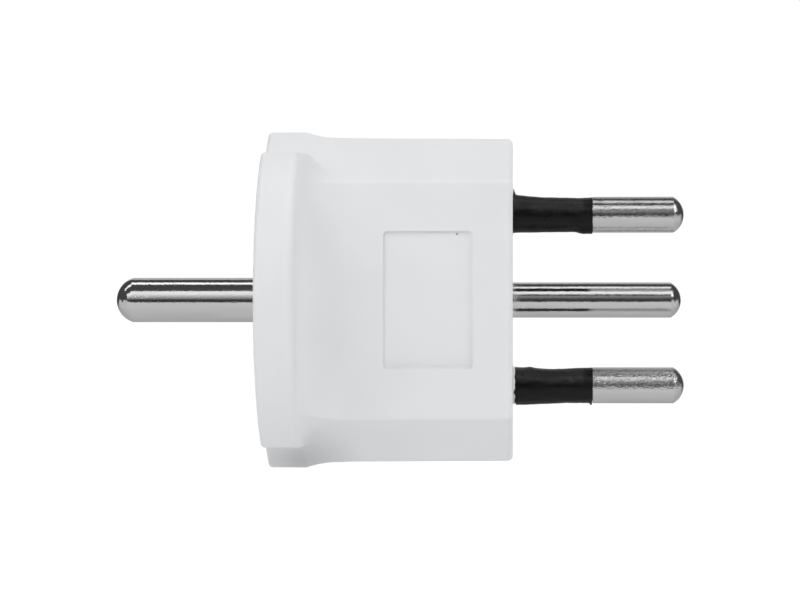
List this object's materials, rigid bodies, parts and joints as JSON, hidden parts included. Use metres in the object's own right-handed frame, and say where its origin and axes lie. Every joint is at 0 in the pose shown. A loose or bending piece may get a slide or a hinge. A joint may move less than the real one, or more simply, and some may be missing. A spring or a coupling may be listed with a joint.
{
  "type": "plug adapter",
  "caption": "White plug adapter: a six-sided nose with round sleeved pins for a wall outlet flares into a round lobed socket face with pin entries and an earth pin.",
  "frame": {"origin": "on the outlet face, midway between the line and neutral pins", "axes": "+X out along the outlet pins, +Z from the neutral pin to the line pin, -Y the side with the label field"},
  "size_m": [0.0619, 0.0374, 0.0374],
  "materials": {
    "white_plastic": "satin",
    "black_plastic": "satin",
    "nickel_plate": "polished",
    "contact_brass": "satin",
    "spring_steel": "satin"
  },
  "bodies": {
    "root": {"housing": "white_plastic", "face_plate": "white_plastic", "line_pin": "nickel_plate", "neutral_pin": "nickel_plate", "line_pin_sleeve": "black_plastic", "neutral_pin_sleeve": "black_plastic", "outlet_earth_pin": "nickel_plate", "plug_earth_pin": "nickel_plate", "line_contact": "contact_brass", "neutral_contact": "contact_brass", "line_contact_spring": "spring_steel", "neutral_contact_spring": "spring_steel", "earth_strap": "contact_brass"}
  },
  "joints": []
}
